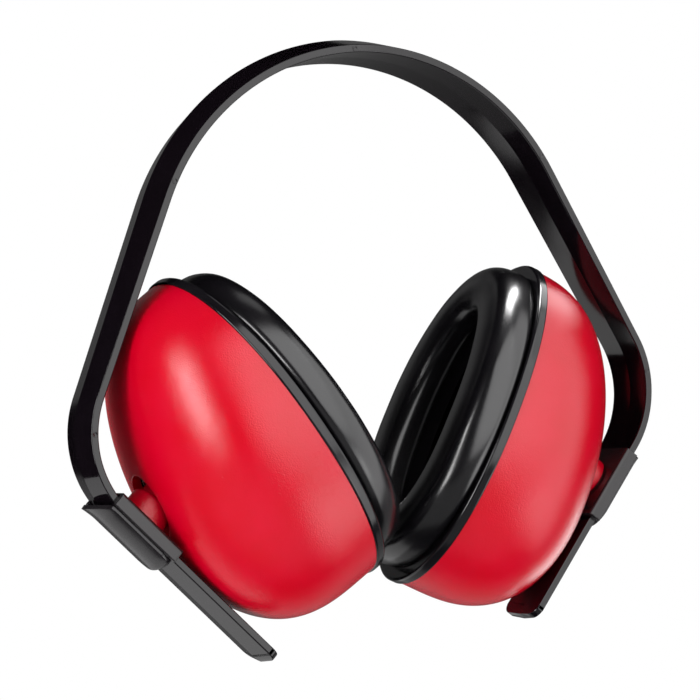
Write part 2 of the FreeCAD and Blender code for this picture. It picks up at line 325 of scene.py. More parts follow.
def heading(angle):
    """The way along the right half of the band after it has turned down by angle."""
    turn = math.radians(angle)
    return Vector((math.cos(turn), 0, -math.sin(turn)))


def outward(angle):
    """The band's outward normal after it has turned down by angle."""
    turn = math.radians(angle)
    return Vector((math.sin(turn), 0, math.cos(turn)))


def arc_end(start, angle, radius, turn):
    """Where an arc of the band's outer edge line ends."""
    centre = start - outward(angle) * radius
    return centre + outward(angle + turn) * radius


def leg_start():
    """Where the right leg's straight stretch begins, and its angle."""
    flank = arc_end(Vector((0, 0, 0)), 0, ARCH_RADIUS, ARCH_HALF_ANGLE)
    bend = flank + heading(ARCH_HALF_ANGLE) * FLANK_LENGTH
    start = arc_end(bend, ARCH_HALF_ANGLE, BEND_RADIUS, BEND_ANGLE)
    return start, ARCH_HALF_ANGLE + BEND_ANGLE


def axes_matrix(x_way, y_way, at):
    """The matrix that carries a local frame to the directions and point given."""
    x_way = x_way.normalized()
    z_way = x_way.cross(y_way).normalized()
    y_way = z_way.cross(x_way)
    matrix = Matrix((x_way, y_way, z_way)).transposed().to_4x4()
    matrix.translation = at
    return matrix


def slider_frame(side):
    """X runs down the leg, Z outwards, from the edge line at the slider's middle."""
    start, angle = leg_start()
    down = heading(angle)
    at = start + down * SLIDER_STATION[side]
    across = Vector((0, 1, 0))
    if side == "left":
        at = Vector((-at.x, at.y, at.z))
        down = Vector((-down.x, down.y, down.z))
        across = -across
    return axes_matrix(down, across, at)


def cup_frame(side):
    """X runs up the cup's long axis, Z inwards to the head, from the rim's centre."""
    inwards = Matrix.Translation((0, 0, -BALL_DEPTH)) @ Matrix.Rotation(math.pi, 4, "Y")
    pitch = Matrix.Rotation(math.radians(-CUP_PITCH), 4, "Y")
    yaw = Matrix.Rotation(math.radians(-CUP_YAW[side]), 4, "X")
    rim = Matrix.Translation((-BALL_OFFSET, 0, BALL_BELOW_RIM))
    return slider_frame(side) @ inwards @ pitch @ yaw @ rim


# ---------------------------------------------------------------- headband

BAND_STRETCHES = (
    (ARCH_RADIUS, ARCH_HALF_ANGLE, math.radians(ARCH_HALF_ANGLE) * ARCH_RADIUS, 72),
    (0, 0, FLANK_LENGTH, 24),
    (BEND_RADIUS, BEND_ANGLE, math.radians(BEND_ANGLE) * BEND_RADIUS, 40),
    (0, 0, LEG_LENGTH, 24),
)


def band_stations():
    """Points down the right half of the band: place, angle and length so far."""
    stations = [(Vector((0, 0, 0)), 0.0, 0.0)]
    point, angle, run = stations[0]
    for radius, turn, length, steps in BAND_STRETCHES:
        for k in range(1, steps + 1):
            share = k / steps
            if turn:
                at = arc_end(point, angle, radius, turn * share)
            else:
                at = point + heading(angle) * length * share
            stations.append((at, angle + turn * share, run + length * share))
        point, angle, run = stations[-1]
    return stations


def band_size(run, taper):
    """The band's width and crown at a length from its top; both stop changing at taper."""
    share = min(1.0, run / taper)
    return (BAND_WIDTH_TOP + (BAND_WIDTH_LEG - BAND_WIDTH_TOP) * share,
            BAND_CROWN_TOP + (BAND_CROWN_LEG - BAND_CROWN_TOP) * share)


def band_outline(width, crown, cut):
    """The band's section across (y) and outwards (n): a low roof over a faint hollow."""
    half = width / 2 - cut
    low = -BAND_THICKNESS
    roof = crown * (1 - cut * 2 / width)
    corners = [(-half, 0), (0, roof), (half, 0), (half, low), (0, low + BAND_HOLLOW),
               (-half, low)]
    return rounded(corners, [0.3, 0.9, 0.3, 0.35, 1.5, 0.35], 4)


def add_pin_marks(band, stations, taper, material):
    """Low round ejector-pin marks along the band's front edge, made one with the band."""
    for length in PIN_MARKS:
        at, angle, run = min(stations, key=lambda s: abs(s[2] - abs(length)))
        width, _ = band_size(run, taper)
        middle = at - outward(angle) * BAND_THICKNESS / 2
        centre = Vector((math.copysign(1, length) * middle.x, -width / 2, middle.z))
        rings = []
        for radius, rise in PIN_SECTION:
            ring = []
            for i in range(PIN_AROUND):
                turn = 2 * math.pi * i / PIN_AROUND
                across = radius * PIN_RADIUS
                ring.append((centre.x + across * math.cos(turn), centre.y - rise,
                             centre.z + across * math.sin(turn)))
            rings.append(ring)
        mark = outward_normals(join_rings("pin_mark", rings, material, False, BAND_SHARP))
        union = band.modifiers.new("mark", "BOOLEAN")
        union.operation = "UNION"
        union.object = mark
        bake_modifiers(band)
        bpy.data.objects.remove(mark)
    band.data.set_sharp_from_angle(angle=math.radians(BAND_SHARP))


def make_headband(material):
    """The one-piece band, swept along both halves and rounded at the leg tips."""
    stations = band_stations()
    total = stations[-1][2]
    taper = total - LEG_LENGTH - math.radians(BEND_ANGLE / 2) * BEND_RADIUS
    right = []
    for at, angle, run in stations:
        right.append((at, angle, *band_size(run, taper), 0.0))
    tip, angle, width, crown = right.pop()[:4]
    for k in range(LEG_CORNER_STEPS + 1):
        turn = math.pi / 2 * k / LEG_CORNER_STEPS
        at = tip - heading(angle) * LEG_CORNER * (1 - math.sin(turn))
        cut = LEG_CORNER * (1 - math.cos(turn))
        right.append((at, angle, width, crown, cut))
    rings = []
    for mirror, half in ((-1, right[::-1]), (1, right[1:])):
        for at, angle, width, crown, cut in half:
            normal = outward(angle)
            ring = []
            for y, n in band_outline(width, crown, cut):
                point = at + normal * n
                ring.append((point.x * mirror, y, point.z))
            rings.append(ring)
    band = outward_normals(join_rings("band", rings, material, False, BAND_SHARP))
    add_pin_marks(band, stations, taper, material)
    finish_piece(band, "headband", ["headband"])


# ---------------------------------------------------------------- slider

def sleeve_outline(relief, tucked):
    """The sleeve's U, its floor cut lower by the relief, drawn in a little at its ends."""
    half = SLIDER_WIDTH / 2
    inner = BAND_WIDTH_LEG / 2 + SLIDER_FIT
    floor = -BAND_THICKNESS - SLIDER_FIT - relief
    corners = [(-half, WALL_TOP), (-half, PLATE_FACE), (half, PLATE_FACE),
               (half, WALL_TOP), (inner, WALL_TOP), (inner, floor), (-inner, floor),
               (-inner, WALL_TOP)]
    if tucked:
        return rounded([(y * (1 - SLEEVE_TUCK), z) for y, z in corners],
                       [0.1, 0.7, 0.7, 0.1, 0.1, 0.3, 0.3, 0.1], 4)
    return rounded(corners, [0.28, 0.9, 0.9, 0.28, 0.15, 0.3, 0.3, 0.15], 4)


def make_sleeve(side, material):
    """The channel round the leg: an extruded U with eased edges and a relieved mouth."""
    end = SLIDER_LENGTH / 2
    ease, hold = SLEEVE_ENDS
    rings = []
    for x in (-end, -end + ease, -end + hold, -end + MOUTH_LENGTH / 2, -end + MOUTH_LENGTH,
              end - hold, end - ease, end):
        relief = MOUTH_RELIEF * max(0.0, 1 - (x + end) / MOUTH_LENGTH)
        rings.append([(x, y, z) for y, z in sleeve_outline(relief, abs(x) == end)])
    sleeve = outward_normals(join_rings(side + "_sleeve", rings, material, False, BAND_SHARP))
    place(sleeve, slider_frame(side))
    finish_piece(sleeve, side + "_slider", [side + "_slider_sleeve"])


def cover_point(share, along):
    """A point of the cover's outer face: share across it, along it from lip to lower end."""
    low = -SLIDER_LENGTH / 2 + COVER_START
    high = SLIDER_LENGTH / 2 + COVER_OVERHANG
    tip = low - LIP_LENGTH - LIP_BOW + LIP_RECESS * share * share
    x = tip + (high - tip) * (1 - (1 - along) ** COVER_PACE)
    half = COVER_WIDTH / 2
    into = min(1.0, max(0.0, (x - high + COVER_CORNER) / COVER_CORNER))
    half -= COVER_CORNER * (1 - math.sqrt(1 - into * into)) * COVER_CORNER_SHARE
    lift = LIP_FLARE * (max(0.0, low - x) / LIP_LENGTH) ** LIP_CURVE
    drop = 0.0
    if x > high - COVER_EASE:
        over = (x - high + COVER_EASE) / COVER_EASE
        drop = COVER_DROP * (1 - math.sqrt(max(0.0, 1 - over ** 2)))
    side_top = WALL_TOP + COVER_SIDE
    rise = (COVER_RISE - COVER_SIDE - drop) * (1 - share * share)
    return x, share * half, side_top + rise + lift


def make_cover(side, material):
    """The arched cover with its bowed thumb lip, a shell of even thickness."""
    rows, columns = COVER_GRID
    verts = []
    for row in range(rows):
        along = row / (rows - 1)
        left = cover_point(-1, along)
        right = cover_point(1, along)
        lift = left[2] - WALL_TOP - COVER_SIDE
        verts.append((left[0], left[1], WALL_TOP + lift))
        for column in range(columns):
            verts.append(cover_point(-1 + 2 * column / (columns - 1), along))
        verts.append((right[0], right[1], WALL_TOP + lift))
    cover = new_object(side + "_cover", verts, strip_faces(rows, columns + 2), material)
    solid = cover.modifiers.new("wall", "SOLIDIFY")
    solid.thickness = COVER_WALL * MM
    solid.offset = -1
    edge = cover.modifiers.new("ease", "BEVEL")
    edge.width = COVER_BEVEL * MM
    edge.segments = 3
    edge.limit_method = "ANGLE"
    edge.angle_limit = math.radians(BAND_SHARP)
    bake_modifiers(cover)
    place(cover, slider_frame(side))
    finish_piece(cover, side + "_slider", [side + "_slider_cover"])


# ---------------------------------------------------------------- stud and seat

def lathe(name, outline, material, closed=True):
    """A solid turned about Z from an outline of (radius, height)."""
    rings = []
    for radius, height in outline:
        ring = []
        for i in range(LATHE_AROUND):
            turn = 2 * math.pi * i / LATHE_AROUND
            ring.append((radius * math.cos(turn), radius * math.sin(turn), height))
        rings.append(ring)
    return outward_normals(join_rings(name, rings, material, closed))


def arc_points(radius, low, high, steps, centre=0.0):
    """Points (radius, height) on a sphere between two angles up from its equator."""
    points = []
    for k in range(steps + 1):
        lift = math.radians(low + (high - low) * k / steps)
        points.append((radius * math.cos(lift), centre + radius * math.sin(lift)))
    return points


def make_stud(side, material):
    """The stud from the slider's plate to the ball, with its eased shoulders."""
    top = PLATE_FACE + STUD_OVERLAP
    low = -BALL_DEPTH + SHANK_END
    ball_top = math.degrees(math.acos(WAIST_RADIUS / BALL_RADIUS))
    outline = [(AXIS_HOLE, top)]
    outline += [(SHANK_RADIUS + out, top + rise) for out, rise in SHOULDER]
    outline += [(SHANK_RADIUS + out, low + rise) for out, rise in SHANK_FOOT]
    outline += [(WAIST_RADIUS + WAIST_EASE, low), (WAIST_RADIUS, low - WAIST_EASE)]
    outline += arc_points(BALL_RADIUS, ball_top, -89.5, 24, -BALL_DEPTH)
    stud = lathe(side + "_stud", outline, material, closed=False)
    place(stud, slider_frame(side))
    finish_piece(stud, side + "_stud", [side + "_ball_stud"])


def make_seat(side, material):
    """The nylon ring round the ball, open at its mouth and back."""
    bore = BALL_RADIUS + SEAT_FIT
    mouth = math.degrees(math.acos(SEAT_MOUTH / SEAT_RADIUS))
    mouth_in = math.degrees(math.acos(SEAT_MOUTH / bore))
    back = math.degrees(math.acos(SEAT_BACK / SEAT_RADIUS))
    back_in = math.degrees(math.acos(SEAT_BACK / bore))
    outline = arc_points(SEAT_RADIUS, -back, mouth, 28)
    outline += arc_points(bore, mouth_in, -back_in, 24)
    seat = lathe(side + "_seat_ring", outline, material)
    place(seat, slider_frame(side) @ Matrix.Translation((0, 0, -BALL_DEPTH)))
    finish_piece(seat, side + "_seat", [side + "_ball_seat"])


# ---------------------------------------------------------------- ear cup

def dome_shift(share):
    """How far the dome has leant along its long axis at a share of its depth."""
    return -CUP_LEAN * share ** CUP_LEAN_POWER


def dome_size(share):
    """The dome's size at a share of its depth, 1 at the rim."""
    return max(0.0, 1 - share ** CUP_WALL_POWER) ** CUP_CROWN_POWER


def oval_norm(p, q):
    """1 on the cup's superellipse, less inside it."""
    n = CUP_SQUARENESS
    return (abs(p) ** n + abs(q) ** n) ** (1 / n)


def oval_direction(turn):
    """A point of the unit superellipse."""
    power = 2 / CUP_SQUARENESS
    cos, sin = math.cos(turn), math.sin(turn)
    return (math.copysign(abs(cos) ** power, cos), math.copysign(abs(sin) ** power, sin))


def dome_point(p, q, inset):
    """The dome's surface over a point of the unit superellipse's disc."""
    size = min(1.0, oval_norm(p, q))
    share = max(0.0, 1 - size ** (1 / CUP_CROWN_POWER)) ** (1 / CUP_WALL_POWER)
    x = (CUP[0] - inset) * p + dome_shift(share)
    return (x, (CUP[1] - inset) * q, -(CUP_DEPTH - inset) * share)


def dome_coordinates(point, inset):
    """(p, q) of a point as if it lay on the dome, and a third number, negative inside it."""
    share = min(1.0, max(0.0, -point.z / (CUP_DEPTH - inset)))
    p = (point.x - dome_shift(share)) / (CUP[0] - inset)
    q = point.y / (CUP[1] - inset)
    return p, q, oval_norm(p, q) - dome_size(share)


def axis_point(turn, radius, inwards):
    """A point about the stud's axis in the cup's frame, inwards of the ball's centre."""
    lean = math.radians(CUP_PITCH)
    axis = Vector((math.sin(lean), 0, math.cos(lean)))
    first = Vector((math.cos(lean), 0, -math.sin(lean)))
    centre = Vector((BALL_OFFSET, 0, -BALL_BELOW_RIM))
    second = Vector((0, 1, 0))
    return centre + axis * inwards + radius * (first * math.cos(turn)
                                               + second * math.sin(turn))


def well_radius(out):
    """The well's radius at a distance outwards from the ball's centre."""
    lip = math.sqrt((SEAT_RADIUS + SEAT_FIT) ** 2 - WELL_LIP_RADIUS ** 2)
    share = (out - lip) / (WELL_LENGTH - lip)
    return WELL_LIP_RADIUS + (WELL_MOUTH_RADIUS - WELL_LIP_RADIUS) * share


def meet_dome(turn, radius_at, inset):
    """How far out along the stud's axis a turned wall meets the dome."""
    low, high = -BOSS_END, WELL_LENGTH
    for _ in range(MEET_STEPS):
        out = (low + high) / 2
        point = axis_point(turn, radius_at(out), -out)
        if dome_coordinates(point, inset)[2] < 0:
            low = out
        else:
            high = out
    return (low + high) / 2


def dome_rings(inset, radius_at, steps):
    """Rings of the dome from the rim in to where a turned wall about the stud meets it."""
    turns = [2 * math.pi * i / AROUND for i in range(AROUND)]
    inner = []
    for turn in turns:
        out = meet_dome(turn, radius_at, inset)
        inner.append(dome_coordinates(axis_point(turn, radius_at(out), -out), inset)[:2])
    rings = []
    for k in range(steps + 1):
        share = 1 - (k / steps) ** RING_CROWDING
        ring = []
        for turn, start in zip(turns, inner):
            end = oval_direction(turn)
            p = start[0] + (end[0] - start[0]) * share
            q = start[1] + (end[1] - start[1]) * share
            ring.append(Vector(dome_point(p, q, inset)))
        rings.append(ring)
    return rings


def make_cup(side, material):
    """The red shell, one closed surface: dome, well, socket, boss and inner wall."""
    ease = WELL_EASE
    turns = [2 * math.pi * i / AROUND for i in range(AROUND)]
    outer = dome_rings(0.0, well_radius, OUTER_RINGS)
    rings = outer[:-1]
    mouth = outer[-1]
    wall_start = []
    for turn in turns:
        out = meet_dome(turn, well_radius, 0.0)
        wall_start.append(axis_point(turn, well_radius(out - ease), ease - out))
    for k in range(1, 6):
        share = k / 6
        ring = []
        for edge, corner, wall in zip(outer[-2], mouth, wall_start):
            near = corner + (edge - corner).normalized() * min(ease, (edge - corner).length)
            blend = near * (1 - share) ** 2 + corner * 2 * share * (1 - share)
            ring.append(blend + wall * share ** 2)
        rings.append(ring)
    rings.append(wall_start)
    bore = SEAT_RADIUS + SEAT_FIT
    lip = math.sqrt(bore ** 2 - WELL_LIP_RADIUS ** 2)
    for share in (0.25, 0.5, 0.75, 1.0):
        rings.append([wall.lerp(axis_point(turn, WELL_LIP_RADIUS, -lip), share)
                      for turn, wall in zip(turns, wall_start)])
    for k in range(1, 9):
        lift = math.asin(lip / bore) * (1 - k / 8)
        rings.append([axis_point(turn, bore * math.cos(lift), -bore * math.sin(lift))
                      for turn in turns])
    rings.append([axis_point(turn, bore, BOSS_END) for turn in turns])
    rings.append([axis_point(turn, BOSS_RADIUS, BOSS_END) for turn in turns])
    inner = dome_rings(CUP_WALL, lambda out: BOSS_RADIUS, INNER_RINGS)
    rings += inner[::-1]
    cup = outward_normals(join_rings(side + "_cup_dome", rings, material))
    place(cup, cup_frame(side))
    finish_piece(cup, side + "_cup", [side + "_cup_shell"])


def oval_solid(name, profile, material, sharp=SHARP):
    """A ring round the cup's oval from a closed outline of (major, minor, height)."""
    rings = []
    for major, minor, height in profile:
        ring = []
        for i in range(AROUND):
            p, q = oval_direction(2 * math.pi * i / AROUND)
            ring.append((major * p, minor * q, height))
        rings.append(ring)
    return outward_normals(join_rings(name, rings, material, sharp=sharp))


def from_oval(oval, points):
    """(major, minor, height) for points given as (offset from an oval, height)."""
    return [(oval[0] + offset, oval[1] + offset, height) for offset, height in points]


def make_flange(side, material):
    """The black flange plate with its eased rim and the step that carries the seal."""
    top, step, end = FLANGE_THICKNESS, -STEP_INSET, -RIM_DEPTH
    rim = rounded([(0, 0), (0, top), (step, top), (step, FLANGE_STEP), (end, FLANGE_STEP),
                   (end, 0)], [0.5, 0.75, 0.2, 0.3, 0, 0], 5)
    outer = [(x, z) for x, z in rim if x > end]
    profile = from_oval(FLANGE, outer)
    profile += from_oval(FLANGE_OPENING, [(0, FLANGE_STEP), (0, 0)])
    flange = oval_solid(side + "_flange", profile, material)
    place(flange, cup_frame(side))
    finish_piece(flange, side + "_cup", [side + "_seal_plate"])


def make_backing(side, material):
    """The stiff ring under the cushion; its edge shows in the groove."""
    end = -RIM_DEPTH
    edge = rounded([(0, FLANGE_STEP), (0, BACKING_TOP), (end, BACKING_TOP),
                    (end, FLANGE_STEP)], [0.25, 0.25, 0, 0], 4)
    profile = from_oval(BACKING, [(x, z) for x, z in edge if x > end])
    profile += from_oval(FLANGE_OPENING, [(0, BACKING_TOP), (0, FLANGE_STEP)])
    ring = oval_solid(side + "_backing_ring", profile, material)
    place(ring, cup_frame(side))
    finish_piece(ring, side + "_cup", [side + "_cushion_backing"])


def cushion_profile():
    """The cushion's crowned section as (major, minor, height), base to base."""
    outer_low, inner_top = CUSHION_UNDERCUT, CUSHION_INNER_ROLL
    base, hem = BACKING_TOP, FLANGE_THICKNESS + HEM_GAP
    tucked = (BACKING[0] + HEM_CLEAR, BACKING[1] + HEM_CLEAR)
    points = [(*tucked, base), (*tucked, hem + HEM_HEIGHT)]
    for k in range(7):
        turn = math.radians(-90 + 90 * k / 6)
        reach = math.cos(turn) - 1
        points.append((CUSHION[0] + HEM_REACH * reach, CUSHION[1] + outer_low * reach,
                       hem + outer_low + outer_low * math.sin(turn)))
    foot = hem + outer_low
    for k in range(1, 19):
        turn = math.radians(90 * k / 18)
        offset = CUSHION_ROLL * (math.cos(turn) ** (2 / CUSHION_FULLNESS) - 1)
        height = foot + (CUSHION_TOP - foot) * math.sin(turn) ** (2 / CUSHION_FULLNESS)
        points.append((CUSHION[0] + offset, CUSHION[1] + offset, height))
    start = points[-1]
    end = (CUSHION_OPENING[0] + inner_top, CUSHION_OPENING[1] + inner_top)
    for k in range(1, 7):
        share = k / 7
        crown = CUSHION_CROWN * math.sin(math.pi * share)
        points.append((start[0] + (end[0] - start[0]) * share,
                       start[1] + (end[1] - start[1]) * share, CUSHION_TOP + crown))
    for k in range(9):
        turn = math.radians(90 - 90 * k / 8)
        offset = inner_top - inner_top * math.cos(turn)
        height = CUSHION_TOP - inner_top + inner_top * math.sin(turn)
        points.append((CUSHION_OPENING[0] + offset, CUSHION_OPENING[1] + offset, height))
    points += [(*CUSHION_OPENING, height) for height in CUSHION_BORE]
    points.append((CUSHION_OPENING[0] + BORE_EASE, CUSHION_OPENING[1] + BORE_EASE, base))
    return points


def make_cushion(side, material):
    """The foam-filled vinyl ring, slightly uneven as a soft thing is."""
    cushion = oval_solid(side + "_cushion", cushion_profile(), material, SOFT_SHARP)
    seed = CUSHION_SEEDS[side]
    for vertex in cushion.data.vertices:
        point = Vector(vertex.co) / MM
        high = max(0.0, min(1.0, (point.z - BACKING_TOP) / CUSHION_FADE))
        slow = noise.noise(point * CUSHION_SLOW[0] + Vector((seed, 0, 0)))
        fine = noise.noise(point * CUSHION_FINE[0] + Vector((0, seed, 0)))
        rise = CUSHION_SLOW[1] * slow + CUSHION_FINE[1] * fine
        vertex.co += vertex.normal * rise * high * MM
    cushion.data.update()
    place(cushion, cup_frame(side))
    finish_piece(cushion, side + "_cup",
                 [side + "_cushion_skin", side + "_cushion_foam"])


def make_liner(side, material):
    """The charcoal foam bowl seen through the ear hole."""
    outer_inset = CUP_WALL + LINER_GAP
    inner_inset = outer_inset + LINER_THICKNESS
    rings = []
    for inset, order in ((outer_inset, 1), (inner_inset, -1)):
        shares = [k / LINER_STEPS for k in range(LINER_STEPS + 1)][::order]
        for share in shares:
            depth = -LINER_TOP / (CUP_DEPTH - inset)
            level = depth + (LINER_REACH - depth) * share
            ring = []
            for i in range(AROUND // 2):
                p, q = oval_direction(4 * math.pi * i / AROUND)
                size = dome_size(level)
                x = (CUP[0] - inset) * size * p + dome_shift(level)
                ring.append((x, (CUP[1] - inset) * size * q, -(CUP_DEPTH - inset) * level))
            rings.append(ring)
    liner = outward_normals(join_rings(side + "_liner", rings, material, sharp=SOFT_SHARP))
    place(liner, cup_frame(side))
    finish_piece(liner, side + "_cup", [side + "_foam_liner"])


# ---------------------------------------------------------------- materials

def shader_material(name, colour, roughness, specular):
    """A material with a Principled shader, its constants set on the shader's sockets."""
    material = bpy.data.materials.new(name)
    material.use_nodes = True
    shader = material.node_tree.nodes["Principled BSDF"]
    shader.inputs["Base Color"].default_value = (*colour, 1)
    shader.inputs["Roughness"].default_value = roughness
    shader.inputs["Specular IOR Level"].default_value = specular
    return material, material.node_tree, shader


# The span that most values of a noise texture fall in.
NOISE_SPAN = (0.3, 0.7)


def object_noise(tree, scale, detail):
    """A noise texture in the object's own coordinates, at features per metre."""
    where = tree.nodes.new("ShaderNodeTexCoord")
    texture = tree.nodes.new("ShaderNodeTexNoise")
    texture.inputs["Scale"].default_value = scale
    texture.inputs["Detail"].default_value = detail
    tree.links.new(where.outputs["Object"], texture.inputs["Vector"])
    return texture


def spread(tree, source, low, high, socket):
    """Carries a noise value into a socket between two values."""
    change = tree.nodes.new("ShaderNodeMapRange")
    change.inputs["From Min"].default_value = NOISE_SPAN[0]
    change.inputs["From Max"].default_value = NOISE_SPAN[1]
    change.inputs["To Min"].default_value = low
    change.inputs["To Max"].default_value = high
    tree.links.new(source, change.inputs["Value"])
    tree.links.new(change.outputs["Result"], socket)


def two_colours(tree, source, first, second, socket):
    """Mixes two colours by a noise value into a socket."""
    ramp = tree.nodes.new("ShaderNodeValToRGB")
    for element, position, colour in zip(ramp.color_ramp.elements, NOISE_SPAN,
                                         (first, second)):
        element.position = position
        element.color = (*colour, 1)
    tree.links.new(source, ramp.inputs["Fac"])
    tree.links.new(ramp.outputs["Color"], socket)


def bumps(tree, shader, layers):
    """Chains bump nodes of (height source, strength, distance in metres)."""
    last = None
    for source, strength, distance in layers:
        bump = tree.nodes.new("ShaderNodeBump")
        bump.inputs["Strength"].default_value = strength
        bump.inputs["Distance"].default_value = distance
        tree.links.new(source, bump.inputs["Height"])
        if last:
            tree.links.new(last.outputs["Normal"], bump.inputs["Normal"])
        last = bump
    tree.links.new(last.outputs["Normal"], shader.inputs["Normal"])


WAVE_SCALE = 30
WAVE_HEIGHT = 0.0002
HANDLED_SCALE = 75


def moulded_plastic(name, colours, roughness, grain, wave, specular=0.5):
    """Injection-moulded plastic: fine grain, slow waves, handled gloss and faint wear."""
    material, tree, shader = shader_material(name, colours[0], roughness[0], specular)
    slow = object_noise(tree, WAVE_SCALE, 1)
    handled = object_noise(tree, HANDLED_SCALE, 2)
    fine = object_noise(tree, grain[0], 2)
    two_colours(tree, handled.outputs["Fac"], *colours, shader.inputs["Base Color"])
    spread(tree, handled.outputs["Fac"], *roughness, shader.inputs["Roughness"])
    bumps(tree, shader, [(slow.outputs["Fac"], wave, WAVE_HEIGHT),
                         (fine.outputs["Fac"], grain[1], grain[2])])
    return material


# By what each covers: its name, its two colours, its two roughnesses, the grain as
# (features per metre, strength, distance), the waves' strength and the specular level.
PLASTICS = {
    "band": ("band_black", ((0.0045, 0.003, 0.0045), (0.006, 0.004, 0.006)),
             (0.06, 0.10), (1400, 0.03, 0.00005), 0.2),
    "slider": ("slider_black", ((0.014, 0.012, 0.014), (0.019, 0.017, 0.019)),
               (0.17, 0.23), (2600, 0.16, 0.00005), 0.2),
    "cup": ("cup_red", ((0.70, 0.0, 0.014), (0.74, 0.0, 0.022)),
            (0.15, 0.19), (3000, 0.55, 0.00014), 0.15),
    "flange": ("flange_black", ((0.006, 0.005, 0.007), (0.009, 0.008, 0.010)),
               (0.14, 0.18), (1600, 0.04, 0.00005), 0.15),
    "backing": ("backing_black", ((0.003, 0.003, 0.003), (0.005, 0.004, 0.005)),
                (0.45, 0.55), (1600, 0.1, 0.00005), 0.1, 0.25),
    "vinyl": ("vinyl_black", ((0.004, 0.0035, 0.005), (0.006, 0.005, 0.007)),
              (0.22, 0.26), (1100, 0.04, 0.00005), 0.1, 0.75),
    "nylon": ("nylon_grey", ((0.70, 0.71, 0.70), (0.78, 0.79, 0.78)),
              (0.35, 0.45), (1500, 0.15, 0.00005), 0.2),
}
FOAM_PORES = 900


def make_materials():
    """Every material by what it covers."""
    made = {key: moulded_plastic(*settings) for key, settings in PLASTICS.items()}
    foam, tree, shader = shader_material("foam_charcoal", (0.004, 0.004, 0.0045), 0.95, 0.1)
    pores = tree.nodes.new("ShaderNodeTexVoronoi")
    where = tree.nodes.new("ShaderNodeTexCoord")
    tree.links.new(where.outputs["Object"], pores.inputs["Vector"])
    pores.inputs["Scale"].default_value = FOAM_PORES
    # The pores' centres are coloured darker: this is painted shade in the pits that the same
    # pattern's bump sinks.
    two_colours(tree, pores.outputs["Distance"], (0.001, 0.001, 0.001),
                (0.005, 0.005, 0.006), shader.inputs["Base Color"])
    bumps(tree, shader, [(pores.outputs["Distance"], 0.6, 0.0004)])
    made["foam"] = foam
    return made


# ---------------------------------------------------------------- stage

CAMERA_AZIMUTH = -27.305
CAMERA_ELEVATION = 0.004
CAMERA_ROLL = -5.958
CAMERA_SHIFT = (-4.005, 80.54)
CAMERA_DISTANCE = 698.3
CAMERA_LENS = 133.34
CAMERA_CLIP = (0.01, 100)
SENSOR_WIDTH = 36
MIDDLE = (0, 0, -85)
FLOOR_DROP = 250
FLOOR_BACK = 520
FLOOR_FRONT = 900
FLOOR_SIDE = 900
FLOOR_THICKNESS = 20
FLOOR_CORNER = 60
FLOOR_SHADE = 0.9
FILL = 0.6
LIGHT_DISTANCE = 1200
GLOW_RISE = 1


def camera_axes():
    """The camera's right, up and back directions."""
    azimuth, elevation = math.radians(CAMERA_AZIMUTH), math.radians(CAMERA_ELEVATION)
    back = Vector((math.sin(azimuth) * math.cos(elevation),
                   -math.cos(azimuth) * math.cos(elevation), math.sin(elevation)))
    right = Vector((math.cos(azimuth), math.sin(azimuth), 0))
    up = back.cross(right)
    roll = math.radians(CAMERA_ROLL)
    return (right * math.cos(roll) + up * math.sin(roll),
            up * math.cos(roll) - right * math.sin(roll), back)


def make_camera():
    """The camera: a long lens, nearly level, turned and rolled a little."""
    right, up, back = camera_axes()
    at = back * CAMERA_DISTANCE - right * CAMERA_SHIFT[0] - up * CAMERA_SHIFT[1]
    data = bpy.data.cameras.new("camera")
    data.lens = CAMERA_LENS
    data.sensor_width = SENSOR_WIDTH
    data.clip_start, data.clip_end = CAMERA_CLIP
    camera = bpy.data.objects.new("camera", data)
    bpy.context.scene.collection.objects.link(camera)
    camera.matrix_world = Matrix((right, up, back)).transposed().to_4x4()
    camera.location = at * MM
    bpy.context.scene.camera = camera


def table_axes():
    """Across the view and away from the camera, both level, and the table top's height."""
    back = camera_axes()[2]
    away = Vector((-back.x, -back.y, 0)).normalized()
    return Vector((away.y, -away.x, 0)), away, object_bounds()[0].z / MM - FLOOR_DROP


def make_floor():
    """A plain pale table top, well below the object, which hangs clear as a worn one does."""
    aside, away, level = table_axes()
    corners = []
    for along, across in ((FLOOR_BACK, -FLOOR_SIDE), (FLOOR_BACK, FLOOR_SIDE),
                          (-FLOOR_FRONT, FLOOR_SIDE), (-FLOOR_FRONT, -FLOOR_SIDE)):
        point = away * along + aside * across
        corners.append((point.x, point.y))
    outline = rounded(corners, [FLOOR_CORNER] * 4, 8)
    verts = [(x, y, level) for x, y in outline]
    verts += [(x, y, level - FLOOR_THICKNESS) for x, y in outline]
    count = len(outline)
    faces = [tuple(range(count)), tuple(reversed(range(count, 2 * count)))]
    for i in range(count):
        j = (i + 1) % count
        faces.append((i, j, count + j, count + i))
    material = shader_material("floor_pale", (FLOOR_SHADE,) * 3, 0.8, 0.0)[0]
    floor = outward_normals(new_object("floor", verts, faces, material))
    floor.visible_glossy = False
    floor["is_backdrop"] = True


def light_way(azimuth, elevation):
    """The direction at angles from the camera's own direction, as seen by the object."""
    right, up, back = camera_axes()
    turn, lift = math.radians(azimuth), math.radians(elevation)
    flat = back * math.cos(turn) + right * math.sin(turn)
    return flat * math.cos(lift) + up * math.sin(lift)


def area_light(name, size, radiance, seen, x_way, y_way, at):
    """A rectangular light that is only mirrored or only lights evenly, itself unseen."""
    data = bpy.data.lights.new(name, "AREA")
    data.shape = "RECTANGLE"
    data.size, data.size_y = size[0] * MM, size[1] * MM
    data.energy = radiance * math.pi * data.size * data.size_y
    light = bpy.data.objects.new(name, data)
    bpy.context.scene.collection.objects.link(light)
    light.matrix_world = axes_matrix(x_way, y_way, Vector((0, 0, 0)))
    light.location = at * MM
    light.visible_camera = False
    light.visible_glossy = seen == "glossy"
    light.visible_diffuse = seen == "diffuse"
    return light


